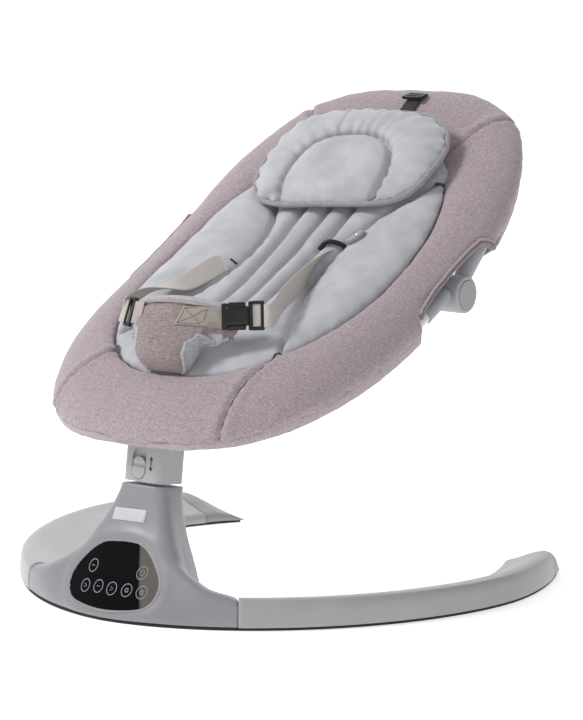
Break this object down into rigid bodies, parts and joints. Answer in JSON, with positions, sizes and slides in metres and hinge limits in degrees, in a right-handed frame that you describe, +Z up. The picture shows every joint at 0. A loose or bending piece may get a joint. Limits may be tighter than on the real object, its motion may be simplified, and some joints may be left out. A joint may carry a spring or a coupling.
{
  "type": "baby swing",
  "caption": "Electric baby swing: a padded reclining oval seat with crotch pad and head pillow on a swinging post over a C-shaped floor base with a touch panel.",
  "frame": {"origin": "on the floor, under the middle of the swing's overall box", "axes": "+Z up, +Y towards the head end, +X towards the side seen nearer"},
  "size_m": [0.623, 0.6137, 0.5465],
  "materials": {
    "shell_grey": "satin moulded plastic",
    "leg_grey": "satin moulded plastic",
    "tip_grey": "satin moulded plastic",
    "post_grey": "fine textured plastic",
    "hinge_grey": "satin moulded plastic",
    "feet_rubber": "matt rubber",
    "panel_black": "gloss black touch panel",
    "bezel_chrome": "bright bezel",
    "board_green": "coated circuit board",
    "steel": "zinc plated",
    "copper": "enamelled wire",
    "black_plastic": "moulded acetal",
    "bush_plastic": "bearing acetal",
    "magnet": "nickel plated",
    "tube_white": "white powder coat",
    "cover_fabric": "melange woven cover",
    "velvet": "short pile velvet",
    "pad_linen": "linen weave",
    "webbing": "woven polyester webbing",
    "black_webbing": "woven polyester webbing"
  },
  "bodies": {
    "base": {"console_housing": "shell_grey", "bottom_cover": "shell_grey", "cover_screws": "steel", "touch_panel": "panel_black", "panel_bezel": "bezel_chrome", "leg_near": "leg_grey", "leg_far": "leg_grey", "leg_tip_near": "tip_grey", "leg_tip_far": "tip_grey", "rubber_feet": "feet_rubber", "control_board": "board_green", "pcb_screws": "steel", "speaker": "black_plastic", "drive_coil": "copper", "coil_core": "steel", "power_inlet": "black_plastic", "post_bushes": "bush_plastic"},
    "swing": {"swing_shaft": "steel", "magnet_arm": "black_plastic", "drive_magnet": "magnet", "post_sleeve": "post_grey", "seat_bracket": "black_plastic", "bracket_screws": "steel", "lower_tube": "tube_white", "hinge_lower_near": "hinge_grey", "hinge_lower_far": "hinge_grey", "hinge_bolts": "steel", "cover_lower": "cover_fabric", "cover_skirt_lower": "cover_fabric", "insert_lower": "velvet", "crotch_pad": "pad_linen", "crotch_webbing": "webbing", "buckle_near": "black_plastic", "buckle_far": "black_plastic", "waist_strap_near": "webbing", "waist_strap_far": "webbing"},
    "backrest": {"upper_tube": "tube_white", "hinge_upper_near": "hinge_grey", "hinge_upper_far": "hinge_grey", "cover_upper": "cover_fabric", "cover_skirt_upper": "cover_fabric", "insert_upper": "velvet", "head_pillow": "velvet", "pillow_strap": "black_webbing", "pillow_buckle": "black_plastic"},
    "lock": {"lock_slider": "post_grey"},
    "button_near": {"recline_button_near": "hinge_grey"},
    "button_far": {"recline_button_far": "hinge_grey"}
  },
  "joints": [
    {"name": "swing_yaw", "type": "hinge", "parent": "base", "child": "swing", "pos_m": [0, -0.2144, 0.136], "axis": [0, 0.1392, 0.9903], "range_deg": [-10, 10]},
    {"name": "recline", "type": "hinge", "parent": "swing", "child": "backrest", "pos_m": [0, 0.0796, 0.329], "axis": [1, 0, 0], "range_deg": [-20, 0]},
    {"name": "lock_slide", "type": "slide", "parent": "swing", "child": "lock", "axis": [0, 0.1392, 0.9903], "range_m": [0, 0.01]},
    {"name": "release_near", "type": "slide", "parent": "backrest", "child": "button_near", "axis": [-1, 0, 0], "range_m": [0, 0.003], "stiffness_N_per_m": 400, "springref_m": -0.003},
    {"name": "release_far", "type": "slide", "parent": "backrest", "child": "button_far", "axis": [1, 0, 0], "range_m": [0, 0.003], "stiffness_N_per_m": 400, "springref_m": -0.003}
  ]
}
